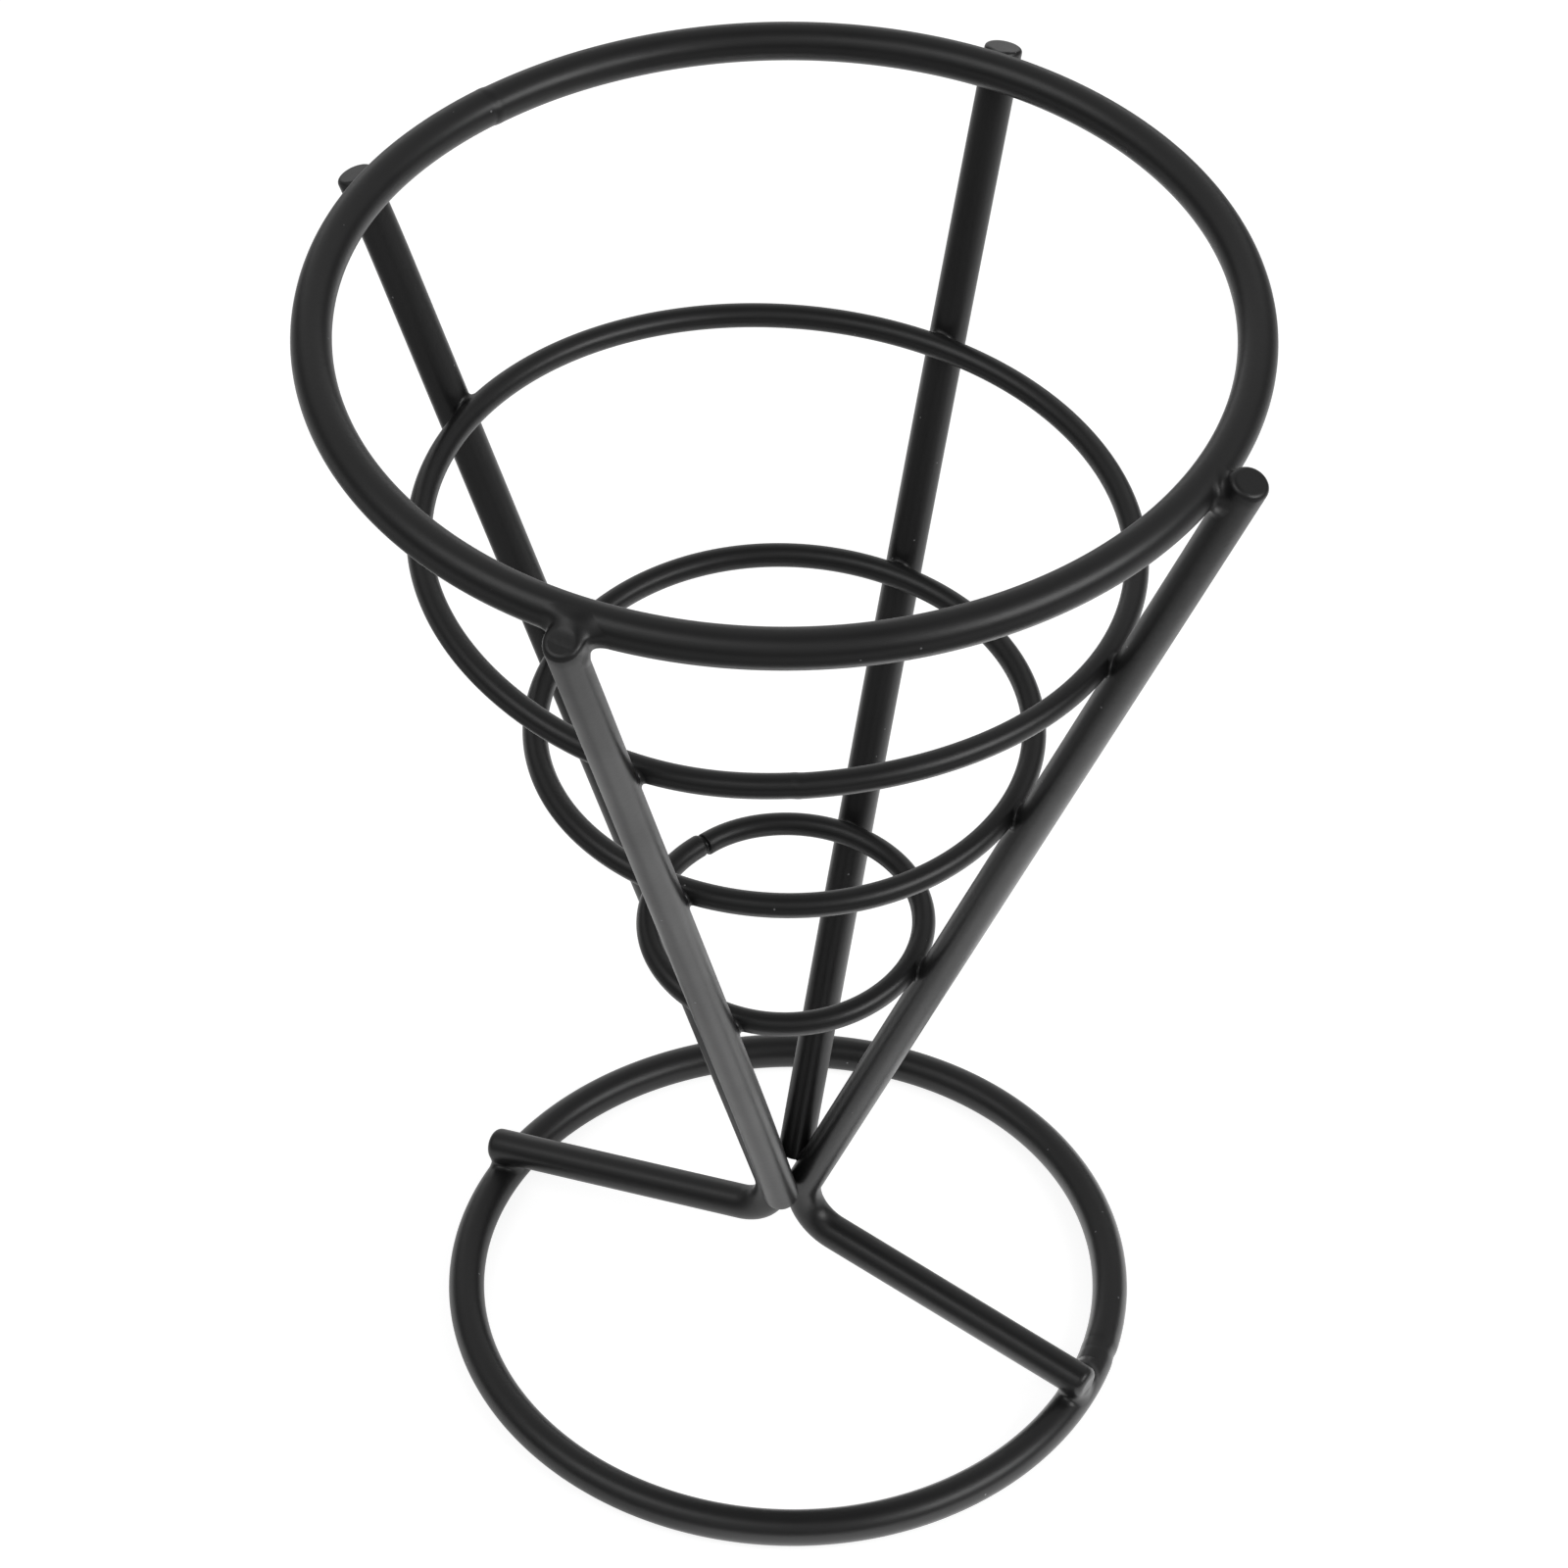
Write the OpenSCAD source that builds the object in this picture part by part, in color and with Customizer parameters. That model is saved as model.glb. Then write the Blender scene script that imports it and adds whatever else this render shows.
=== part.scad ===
// A stand of welded round wire that holds a paper cone of fries or snacks.
// Four rods and four rings make the cone; two of the rods bend outwards at the
// bottom and carry it on a ring that lies on the table.

/* [Cone] */
// Diameter of the rim over its outside
rim_d = 125; // [95:0.5:180]
// Height of the middle of the rim above the table
rim_h = 183.75; // [155:0.05:260]
// Height of the upper hoop's plane above the table, on the rim's axis
upper_h = 147.6; // [130:0.05:148]
// Height of the middle hoop's plane
middle_h = 112.75; // [92:0.05:124]
// Height of the lower hoop's plane
lower_h = 74.95; // [55:0.05:86]

/* [Hoop lean] */
// Degrees that the upper hoop drops towards +X and towards +Y
upper_lean = [1.9, 2.6]; // [-6:0.1:6]
// Degrees that the middle hoop drops towards +X and towards +Y
middle_lean = [1.2, -0.9]; // [-6:0.1:6]
// Degrees that the lower hoop drops towards +X and towards +Y
lower_lean = [0.6, -2.2]; // [-6:0.1:6]

/* [Wire] */
// Wire of the rim
rim_wire = 5.05; // [3:0.05:7]
// Wire of the four rods
rod_wire = 4.9; // [3.5:0.05:6]
// Wire of the three hoops
hoop_wire = 3.15; // [2:0.05:5]
// Wire of the ring on the table
base_wire = 4.85; // [3:0.05:7]
// Chamfer of a wire's cut end
end_chamfer = 0.4; // [0.1:0.05:0.8]

/* [Rods at the rim] */
// Bearing of the left rod's weld to the rim
left_bearing = 178.8; // [170:0.1:190]
// Bearing of the back rod's weld to the rim
back_bearing = 92.7; // [82:0.1:102]
// Bearing of the right rod's weld to the rim
right_bearing = 0; // [-10:0.1:10]
// Bearing of the front rod's weld to the rim
front_bearing = -85.5; // [-98:0.1:-78]
// Length of the left rod past its weld to the rim
left_over = 0.6; // [0.5:0.1:8]
// Length of the back rod past its weld to the rim
back_over = 2; // [0.5:0.1:8]
// Length of the right rod past its weld to the rim
right_over = 4.4; // [0.5:0.1:8]
// Length of the front rod past its weld to the rim
front_over = 2.3; // [0.5:0.1:8]

/* [Rods at the bottom] */
// Height of the front rod's cut end, at which the rods' places below are taken
gather_h = 22.4; // [20:0.1:26]
// Left rod's place there
left_at = [-4, 3.15]; // [-6:0.05:6]
// Clearance between the left and the right rod there
leg_gap = 0.75; // [0:0.05:2]
// Bearing of the right rod from the left one there
right_turn = 26.7; // [10:0.1:45]
// Bearing of the front rod from the left one there
front_turn = -35.6; // [-60:0.1:-10]
// Height of the back rod's cut end
back_end_h = 24.7; // [23:0.1:32]
// Bearing of the back rod from the right one at its cut end
back_turn = 160.5; // [140:0.1:190]
// Depth that the front and back rods are pressed into the bent ones
rod_press = 0.4; // [0:0.05:0.8]

/* [Base] */
// Diameter of the base ring over its outside
base_d = 98; // [70:0.5:150]
// Place of the base ring's centre, from the rim's centre
base_at = [-0.17, 1.93]; // [-6:0.01:6]
// Height of the left rod's corner, before it is rounded
left_corner_h = 15.3; // [12:0.1:17]
// Height of the right rod's corner, before it is rounded
right_corner_h = 13.5; // [11:0.1:17]
// Radius of the bends along the middle of the wire
bend_r = 6.2; // [4.5:0.1:7]
// Loss of the wire's diameter in the bends, where it is stretched
bend_thinning = 0.04; // [0.02:0.01:0.2]
// Bearing of the left foot's weld from the base ring's centre
left_foot_bearing = 180.8; // [170:0.1:190]
// Bearing of the right foot's weld from the base ring's centre
right_foot_bearing = -0.4; // [-10:0.1:10]
// Length of the left foot past its weld
left_tail = 2; // [1:0.1:8]
// Length of the right foot past its weld
right_tail = 2.2; // [1:0.1:8]

/* [Welds] */
// Depth that a ring and a rod are pressed into each other
set_down = 0.3; // [0.05:0.05:0.6]
// Reach of a weld's metal round each wire, as a share of that wire's radius
weld_reach = 0.72; // [0.4:0.01:0.85]
// Width of a weld's metal, as a share of the wire's diameter
weld_width = 0.9; // [0.6:0.01:0.98]
// Diameter of the beads between the rods at the bottom
apex_bead = 3.6; // [2:0.1:4.2]
// Height of such a bead above the cut end that it holds
bead_lift = 1.2; // [0.5:0.1:3]
// Height of the bead between the two bent rods
leg_bead_h = 20; // [17:0.1:21]

/* [Ring joints] */
// Length of the weld where a ring's wire closes on itself
joint_len = 1.6; // [0.8:0.1:4]
// Height of that weld above the wire
joint_proud = 0.1; // [0.05:0.05:0.4]
// Bearing of the rim's joint
rim_joint = 159.6; // [150:0.1:168]
// Bearing of the upper hoop's joint
upper_joint = 302; // [290:0.1:340]
// Bearing of the lower hoop's joint
lower_joint = 156.6; // [125:0.1:160]
// Bearing of the base ring's joint
base_joint = 11.5; // [8:0.1:60]

/* [Hidden] */
$fn = 96;

LACQUER = "#2b2b2d";
WELD = "#3a3a3c";

// Angle by which a bend runs on into the straight wire at each end
BEND_LAP = 2;

// Vectors

function unit(v) = v / norm(v);
function polar(bearing) = [cos(bearing), sin(bearing), 0];
function flat(v) = [v.x, v.y, 0];

// Matrix that stands a shape at o with its own X and Y along x and y
function frame(o, x, y) =
    let (z = cross(x, y))
    [[x.x, y.x, z.x, o.x], [x.y, y.y, z.y, o.y], [x.z, y.z, z.z, o.z], [0, 0, 0, 1]];

// Matrix that stands a shape at o with its own Z along z
function upright(o, z) =
    let (aside = norm(cross(z, [0, 1, 0])) > 0.01 ? [0, 1, 0] : [1, 0, 0], x = unit(cross(aside, z)))
    frame(o, x, cross(z, x));

// Point at height h on a line, which is [point, direction]
function at_height(line, h) = line[0] + line[1] * (h - line[0].z) / line[1].z;

// Point on a line that lies nearest to another point
function nearest(line, point) = line[0] + line[1] * ((point - line[0]) * line[1]);

// A ring is [centre, radius, normal, wire]; a rod's line is [point, direction]

// Where a straight wire from a point lies against a ring, apart from its middle by gap.
// On side -1 it passes outside and under the ring, on side 1 inside and over it.
function lean_on(from, ring, bearing, gap, side) =
    let (out = polar(bearing),
         near = [(from - ring[0]) * out, from.z],
         to = [ring[1], ring[0].z] - near,
         d = norm(to),
         slope = atan2(to.y, to.x) + side * asin(gap / d),
         end = near + sqrt(d * d - gap * gap) * [cos(slope), sin(slope)])
    flat(ring[0]) + out * end.x + [0, 0, end.y];

function line_to_rim(from, bearing) =
    [from, unit(lean_on(from, RIM, bearing, (rim_wire + rod_wire) / 2 - set_down, -1) - from)];

function circumcentre(a, b, c) =
    let (u = b - a, v = c - a, w = cross(u, v))
    a + (cross(w, u) * (v * v) + cross(v, w) * (u * u)) / (2 * w * w);

// Outward direction from a ring's wire to a rod's wire that crosses it
function contact_normal(out, normal, rod) =
    let (m = unit(cross(cross(normal, out), rod)))
    m * out > 0 ? m : -m;

// A hoop that touches the left, right and front rods from inside
function hoop(h, lean) =
    let (normal = unit([tan(lean.x), tan(lean.y), 1]),
         crossings = [for (r = RODS) r[0] + r[1] * (([0, 0, h] - r[0]) * normal) / (r[1] * normal)],
         middle = (crossings[0] + crossings[1] + crossings[2] + crossings[3]) / 4,
         touches = [for (i = [0, 1, 2])
             let (out = unit(crossings[i] - middle))
             crossings[i] - out * HOOP_STAND_OFF / (contact_normal(out, normal, RODS[i][1]) * out)],
         centre = circumcentre(touches[0], touches[1], touches[2]))
    [centre, norm(touches[0] - centre), normal, hoop_wire];

// Point on the middle of a ring's wire beside a straight rod
function contact(ring, rod) =
    let (crossing = rod[0] + rod[1] * ((ring[0] - rod[0]) * ring[2]) / (rod[1] * ring[2]))
    ring[0] + ring[1] * unit(crossing - ring[0]);

// Places worked out from the sizes

RIM = [[0, 0, rim_h], (rim_d - rim_wire) / 2, [0, 0, 1], rim_wire];
BASE = [[base_at.x, base_at.y, base_wire / 2], (base_d - base_wire) / 2, [0, 0, 1], base_wire];
HOOP_STAND_OFF = (hoop_wire + rod_wire) / 2 - set_down;
FOOT_STAND_OFF = (base_wire + rod_wire) / 2 - set_down;

LEFT = line_to_rim([left_at.x, left_at.y, gather_h], left_bearing);
RIGHT = line_to_rim(LEFT[0] + (rod_wire + leg_gap) * polar(right_turn), right_bearing);
FRONT = line_to_rim(LEFT[0] + (rod_wire - rod_press) * polar(front_turn), front_bearing);
BACK = line_to_rim(at_height(RIGHT, back_end_h) + (rod_wire - rod_press) * polar(back_turn), back_bearing);
RODS = [LEFT, RIGHT, FRONT, BACK];

UPPER = hoop(upper_h, upper_lean);
MIDDLE = hoop(middle_h, middle_lean);
LOWER = hoop(lower_h, lower_lean);
RINGS = [RIM, UPPER, MIDDLE, LOWER];

LEFT_CORNER = at_height(LEFT, left_corner_h);
RIGHT_CORNER = at_height(RIGHT, right_corner_h);
LEFT_SEAT = lean_on(LEFT_CORNER, BASE, left_foot_bearing, FOOT_STAND_OFF, 1);
RIGHT_SEAT = lean_on(RIGHT_CORNER, BASE, right_foot_bearing, FOOT_STAND_OFF, 1);
LEFT_FOOT = [LEFT_CORNER, unit(LEFT_SEAT - LEFT_CORNER)];
RIGHT_FOOT = [RIGHT_CORNER, unit(RIGHT_SEAT - RIGHT_CORNER)];

// Point on a rod beside its weld to the rim
function top_of(rod, bearing) = lean_on(rod[0], RIM, bearing, (rim_wire + rod_wire) / 2 - set_down, -1);

// Length from a bend's corner to the straight wire on either side of it
function bend_run(leg, foot) = bend_r / tan(acos(leg * foot) / 2);

// Wires

// Corners of a cut end's profile at height h, with the chamfer running towards the wire's middle
function cut_profile(r, h, inwards) = [[r - end_chamfer, h], [r, h + inwards * end_chamfer]];

// Straight round wire from a to b, with each end chamfered where it is a cut one
module wire(a, b, d, cut_a = true, cut_b = true) {
    length = norm(b - a);
    near = cut_a ? cut_profile(d / 2, 0, 1) : [[d / 2, 0]];
    far = cut_b ? cut_profile(d / 2, length, -1) : [[d / 2, length]];
    multmatrix(upright(a, unit(b - a)))
        rotate_extrude()
            polygon(concat([[0, 0]], near, [for (i = [len(far) - 1:-1:0]) far[i]], [[0, length]]));
}

// Round bend between a leg and a foot that leave the same corner. It runs into both by a
// small angle, where the stretched wire of the bend lies just inside the straight wire.
module bend(corner, leg, foot) {
    spread = acos(leg * foot);
    centre = corner + unit(leg + foot) * bend_r / sin(spread / 2);
    start = corner + leg * bend_run(leg, foot);
    multmatrix(frame(centre, unit(start - centre), -leg))
        rotate_extrude(angle = 180 - spread + 2 * BEND_LAP, start = -BEND_LAP)
            translate([bend_r, 0])
                circle(d = rod_wire - bend_thinning);
}

module bent_wire(rod, foot, top, over, seat, tail) {
    run = bend_run(rod[1], foot[1]);
    wire(foot[0] + rod[1] * run, top + rod[1] * over, rod_wire, false, true);
    bend(foot[0], rod[1], foot[1]);
    wire(foot[0] + foot[1] * run, seat + foot[1] * tail, rod_wire, false, true);
}

module ring_solid(ring) {
    multmatrix(upright(ring[0], ring[2]))
        rotate_extrude()
            translate([ring[1], 0])
                circle(d = ring[3]);
}

// Angle that a ring's joint takes up
function joint_angle(ring) = joint_len / ring[1] * 180 / PI;

// A ring's wire with its ends apart by the length of the joint
module open_ring(ring, bearing) {
    gap = joint_angle(ring);
    multmatrix(upright(ring[0], ring[2]))
        rotate_extrude(angle = 360 - gap, start = bearing + gap / 2)
            translate([ring[1], 0])
                circle(d = ring[3]);
}

// The weld that fills a ring's joint, lifted where the ring has to stay flat underneath
module joint(ring, bearing, lift = 0) {
    gap = joint_angle(ring);
    multmatrix(upright(ring[0] + [0, 0, lift], ring[2]))
        rotate_extrude(angle = gap, start = bearing - gap / 2)
            translate([ring[1], 0])
                circle(d = ring[3] + 2 * joint_proud);
}

module left_wire() {
    bent_wire(LEFT, LEFT_FOOT, top_of(LEFT, left_bearing), left_over, LEFT_SEAT, left_tail);
}

module right_wire() {
    bent_wire(RIGHT, RIGHT_FOOT, top_of(RIGHT, right_bearing), right_over, RIGHT_SEAT, right_tail);
}

module back_wire() {
    wire(BACK[0], top_of(BACK, back_bearing) + BACK[1] * back_over, rod_wire);
}

module front_wire() {
    wire(FRONT[0], top_of(FRONT, front_bearing) + FRONT[1] * front_over, rod_wire);
}

module cone_rings() {
    for (ring = RINGS) ring_solid(ring);
}

// Short stretch of a ring's wire on both sides of a point on its middle
module ring_stretch(ring, point) {
    out = unit(point - ring[0]);
    half = asin(1.2 * rod_wire / ring[1]);
    multmatrix(frame(ring[0], out, cross(ring[2], out)))
        rotate_extrude(angle = 2 * half, start = -half, $fn = 720)
            translate([ring[1], 0])
                circle(d = ring[3]);
}

// Metal of the weld between a ring's wire at a point and the straight wire that passes it
module weld(ring, point, line) {
    ring_r = ring[3] / 2;
    rod_r = rod_wire / 2;
    beside = nearest(line, point);
    apart = norm(beside - point);
    towards = (beside - point) / apart;
    from = ring_r * (1 - weld_reach);
    to = apart - rod_r * (1 - weld_reach);
    difference() {
        multmatrix(upright(point + towards * from, towards))
            cylinder(r1 = ring_r * weld_width, r2 = rod_r * weld_width, h = to - from);
        ring_stretch(ring, point);
        wire(beside - line[1] * 2 * rod_wire, beside + line[1] * 2 * rod_wire, rod_wire);
    }
}

module welds_of(ring) {
    for (rod = RODS) weld(ring, contact(ring, rod), rod);
}

// Weld between a foot and the base ring under it
module foot_weld(bearing, foot) {
    weld(BASE, BASE[0] + BASE[1] * polar(bearing), foot);
}

// Bead between two rods at height h
module bead(rod_a, rod_b, h) {
    difference() {
        translate((at_height(rod_a, h) + at_height(rod_b, h)) / 2) sphere(d = apex_bead);
        left_wire();
        right_wire();
        back_wire();
        front_wire();
    }
}

// Pieces

module rim_ring() { color(LACQUER) open_ring(RIM, rim_joint); }
module upper_hoop() { color(LACQUER) open_ring(UPPER, upper_joint); }
module middle_hoop() { color(LACQUER) ring_solid(MIDDLE); }
module lower_hoop() { color(LACQUER) open_ring(LOWER, lower_joint); }
module base_ring() { color(LACQUER) open_ring(BASE, base_joint); }

module left_bent_rod() {
    color(LACQUER) difference() {
        left_wire();
        cone_rings();
        ring_solid(BASE);
    }
}

module right_bent_rod() {
    color(LACQUER) difference() {
        right_wire();
        cone_rings();
        ring_solid(BASE);
        left_wire();
    }
}

module back_rod() {
    color(LACQUER) difference() {
        back_wire();
        cone_rings();
        left_wire();
        right_wire();
    }
}

module front_rod() {
    color(LACQUER) difference() {
        front_wire();
        cone_rings();
        left_wire();
        right_wire();
    }
}

module rim_welds() { color(WELD) welds_of(RIM); }
module upper_hoop_welds() { color(WELD) welds_of(UPPER); }
module middle_hoop_welds() { color(WELD) welds_of(MIDDLE); }
module lower_hoop_welds() { color(WELD) welds_of(LOWER); }

module foot_welds() {
    color(WELD) {
        foot_weld(left_foot_bearing, LEFT_FOOT);
        foot_weld(right_foot_bearing, RIGHT_FOOT);
    }
}

module apex_welds() {
    color(WELD) {
        bead(LEFT, RIGHT, leg_bead_h);
        bead(LEFT, FRONT, gather_h + bead_lift);
        bead(LEFT, BACK, back_end_h + bead_lift);
        bead(RIGHT, BACK, back_end_h + bead_lift);
    }
}

module ring_joints() {
    color(WELD) {
        joint(RIM, rim_joint);
        joint(UPPER, upper_joint);
        joint(LOWER, lower_joint);
        joint(BASE, base_joint, joint_proud);
    }
}

rim_ring();
upper_hoop();
middle_hoop();
lower_hoop();
base_ring();
left_bent_rod();
right_bent_rod();
back_rod();
front_rod();
rim_welds();
upper_hoop_welds();
middle_hoop_welds();
lower_hoop_welds();
foot_welds();
apex_welds();
ring_joints();
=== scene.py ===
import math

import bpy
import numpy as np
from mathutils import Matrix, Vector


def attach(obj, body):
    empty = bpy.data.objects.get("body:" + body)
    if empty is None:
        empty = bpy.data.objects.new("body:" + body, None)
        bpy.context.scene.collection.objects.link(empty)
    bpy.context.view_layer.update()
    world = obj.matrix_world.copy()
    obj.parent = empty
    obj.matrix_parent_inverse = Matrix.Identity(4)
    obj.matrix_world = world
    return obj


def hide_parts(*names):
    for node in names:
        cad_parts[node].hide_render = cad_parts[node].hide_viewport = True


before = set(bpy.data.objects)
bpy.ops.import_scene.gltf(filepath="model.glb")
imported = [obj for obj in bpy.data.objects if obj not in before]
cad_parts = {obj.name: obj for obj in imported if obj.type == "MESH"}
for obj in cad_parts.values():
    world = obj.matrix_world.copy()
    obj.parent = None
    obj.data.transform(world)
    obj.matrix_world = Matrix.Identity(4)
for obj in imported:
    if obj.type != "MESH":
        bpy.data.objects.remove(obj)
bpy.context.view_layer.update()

# The looks of a stand of welded round wire that holds a paper cone of fries or snacks.
# Each wire is swept along the slightly uneven path that it takes on the real stand, and
# each weld is the blended skin of the wires that meet there, under one black powder coat.
# Lengths are millimetres until a mesh, a lamp or the camera is made.

MM = 0.001

# Wires: the rods' diameter and the radius of their bends
ROD_WIRE = 4.9
BEND_R = 6.2
# Sides of a swept wire, spacing of its path's points on rings and on straight stretches, points
# round a bend and round the edge of a cut end, and how many roundings from a cut end the path's
# own points begin
SIDES = 48
STEP = 0.8
STRAIGHT_STEP = 3 * STEP
BEND_POINTS = 24
END_RINGS = 8
CUT_CLEAR = 1.5
# A bent rod's leg is measured above this height, its foot below it and further out than this
FOOT_TOP = 20
FOOT_START = 4.9
# Degrees between the bearings at which a ring is first measured, and how near the fitted skin a
# corner of the mesh has to lie to count, from round to round of a ring's and of a rod's fit
LOOK_STEP = 10
RING_NEAR = (0.3, 0.1, 0.05, 0.03)
ROD_NEAR = (1.5, 0.8, 0.4, 0.2, 0.1, 0.05, 0.03)
# How much further each rod reaches than in the solid model, at its foot and at its top
ROD_ENDS = {
    "left_bent_rod": (0, 0.1), "right_bent_rod": (-0.5, 0), "back_rod": (0.75, 0), "front_rod": (1.7, 0)}
# Rounding of each rod's two ends
ROD_ROUNDS = {
    "left_bent_rod": (1.1, 0.6), "right_bent_rod": (1.1, 0.8), "back_rod": (0.4, 0.5),
    "front_rod": (0.8, 0.8)}
# Rod ends that turn aside: which end, how far, and over what length
ROD_TURNS = {"left_bent_rod": (-1, (-0.4, 0, 0), 14), "front_rod": (0, (-0.6, 0, 0), 42)}
# The back rod is bowed: how far its ends stand to the right of its middle
BACK_BOW = 0.3

# Slow waves of each ring as it was bent and welded: times round, height, bearing of the first crest.
# The hoops and the rim slide along the cone, and the base ring stays flat on the table.
RING_WAVES = {
    "rim_ring": [(2, 0.23, 34), (3, 0.09, 86)],
    "upper_hoop": [(1, 0.37, 5), (2, 0.45, 144), (3, 0.19, 67)],
    "middle_hoop": [(1, 0.12, 303), (2, 0.13, 97), (3, 0.17, 21)],
    "lower_hoop": [(2, 0.26, 24), (3, 0.08, 120)],
    "base_ring": [(0, 0.1, 0), (1, 0.1, 299), (3, 0.21, 77)],
}
# Single humps of a ring: bearing, width and height
RING_HUMPS = {"rim_ring": (186, 16, 0.43), "upper_hoop": (280, 22, -2.69)}
# How much wider than the solid model each coated ring is, as shares of the wire: everywhere, more
# on one side of the ring, and the bearing of that side
RING_GIRTHS = {
    "rim_ring": (0.04, 0.024, 265),
    "upper_hoop": (0.055, 0.02, 230),
    "middle_hoop": (0.055, 0.016, 220),
    "lower_hoop": (0.035, 0.018, 290),
    "base_ring": (0.045, 0.022, 275),
}
# The same for each rod, at its foot and at its top
ROD_GIRTHS = {
    "left_bent_rod": (0.02, 0.06), "right_bent_rod": (0.01, 0.065), "back_rod": (0.02, 0.045),
    "front_rod": (0.01, 0.03)}
# Slope of the cone's side, outwards and upwards
CONE_SLOPE = (0.37, 0.929)

# Joints ground flush: bearing, outward step from one side to the other, and depth of the waist
FLUSH_JOINTS = {"rim_ring": (159.6, 0.14, 0), "upper_hoop": (302, 0.1, 0), "base_ring": (11.5, 0, 0.19)}
# Length of the step, and distance over which the wire drifts back to its ring
STEP_LENGTH = 0.3
STEP_RUN = 8
WAIST_LENGTH = 1.9
WAIST_EDGE = 0.5
# Near the joint the path's points lie closer together: to what distance, how close, and how many
# degrees beyond them its even points begin
FINE_REACH = 2.4
FINE_STEP = 0.12
FINE_CLEAR = 0.4
# The thin skin of weld metal round the joint: its length, its height, how uneven that is and over
# what length, how far from the wire it is worked out, and the empty room round that
JOINT_LENGTH = 1.6
JOINT_PROUD = 0.03
PROUD_CHANGE = 0.5
PROUD_RIPPLE = 1.5
JOINT_REACH = 1.2
JOINT_ROOM = 0.4
# The lower hoop's joint isn't ground: bearing, space between its ends, outward step of its second
# end and the length over which it drifts there, and how deep the weld lies in the space
OPEN_JOINT = {"lower_hoop": (156.6, 0.12, -0.27, 8, 0.3)}
OPEN_ENDS = (0.7, 0.15)
# The weld in that space is a short thinner wire that reaches into both ends: its points, how far
# it reaches in, the rounding of its ends, and the fillet, reach and cells of the skin over it
CORE_POINTS = 7
CORE_REACH = 1.2
CORE_ENDS = (0.2, 0.2)
OPEN_FILLET = 0.3
OPEN_REACH = 3.2
OPEN_GRID = 0.13

# Welds: fillets where a hoop, the base ring and the rim meet a rod, and between the gathered rods
FILLET = 0.95
FOOT_FILLET = 1.7
RIM_FILLETS = {"left_bent_rod": 1.7, "right_bent_rod": 2.2, "back_rod": 1, "front_rod": 3}
GATHER_FILLET = 0.3
# How unevenly a fillet runs, over what length, and from how many slow waves
FILLET_CHANGE = 0.3
FILLET_RIPPLE = 3.5
RIPPLE_WAVES = 4
# Beads of weld metal beside a crossing: place and diameter
BEADS = {("base_ring", "right_bent_rod"): ((45.7, 5.4, 4.5), 2.7)}
# The gathered rods: middle of their weld, and height and diameter of a bead between the bent rods
GATHER_PLACE = (0, 3.8, 23.5)
LEG_BEAD_H = 20
LEG_BEAD_D = 3.4
# How deep a weld's skin lies under the wires' own where nothing is filled, how far it goes from a
# crossing's middle besides its fillet, and from the middle of the gathered rods
SUNK = 0.02
WELD_REACH = 4.6
GATHER_REACH = 11.5
# Size of the grid's cells in which a skin is found, at a crossing and at the gathered rods, how
# many cells of room lie round it, and how many places a block of the grid has along its side
WELD_GRID = 0.17
GATHER_GRID = 0.2
ROOM_CELLS = 3
BLOCK = 5
# A block is worked out in full if its middle lies within this many of its half diagonals of the
# surface. The mesh then settles on the surface in rounds. Its slope is measured over a short
# distance, its square never counts as less than a least one, and a move is a share of a cell.
BLOCK_MARGIN = 1.2
SETTLING_ROUNDS = 3
SLOPE_OVER = 0.01
LEAST_SLOPE_SQUARE = 0.2
LONGEST_MOVE = 0.5
# How far beyond a skin's reach a wire's cut end, and a stretch of its path, still count, and the
# distance that stands for a wire that isn't near
END_MARGIN = 2
PATH_MARGIN = 4
NOT_NEAR = 1e9
# Seed of all that is uneven, and how many seeds the crossings draw theirs from
SEED = 7
SEEDS = 1000

# Powder coat: tone, roughness, and strength of the bumps on wires and on welds
COAT_TONE = 0.008
COAT_ROUGHNESS = 0.37
WIRE_BUMPS = 0.35
WELD_BUMPS = 0.45
# Its blue as a share of its red and green
COAT_BLUE = 1.03
# Clouds, orange peel and fine grain: their size, and the detail of their texture
CLOUDS = (9, 2.0)
PEEL = (0.9, 3.0)
GRAIN = (0.22, 2.0)
# How much the clouds change the tone, as a share of it, and the roughness
CLOUD_TONE = 0.3
CLOUD_ROUGHNESS = 0.12
# Height of the bumps, which a speck of dust has in full, and the shares of peel and grain in it
BUMP_HEIGHT = 0.05
PEEL_SHARE = 0.7
GRAIN_SHARE = 0.3
# Specks of dust: their spacing, the share of places without one, the smallest one's half width
# and how much wider the largest is, as shares of the spacing, and how much paler than the coat
DUST_SPACING = 3.2
DUST_FREE = 0.62
DUST_SIZE = 0.032
DUST_CHANGE = 0.02
DUST_PALE = 0.16

# Light: a grey dome for reflections between two heights in degrees, dim below and above them
DOME_FROM = 20
DOME_TO = 68
DOME_BLUR = 0.08
DOME_LIGHT = 0.44
DOME_DIM = 0.12
# Soft boxes: bearing from the front towards the right and height in degrees, width and height in
# metres, and brightness
LAMPS = {
    "right_lamp": (90, 34, 0.9, 0.5, 3.2),
    "left_lamp": (318, 52, 0.65, 0.6, 1.2),
    "front_lamp": (0, 56, 0.6, 0.5, 0.6),
    "back_lamp": (214, 11, 1.3, 0.4, 0.8),
}
# Their distance in metres, and the watts of a square metre with a brightness of 1
LAMP_DISTANCE = 1.3
LAMP_WATTS = 4
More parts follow.
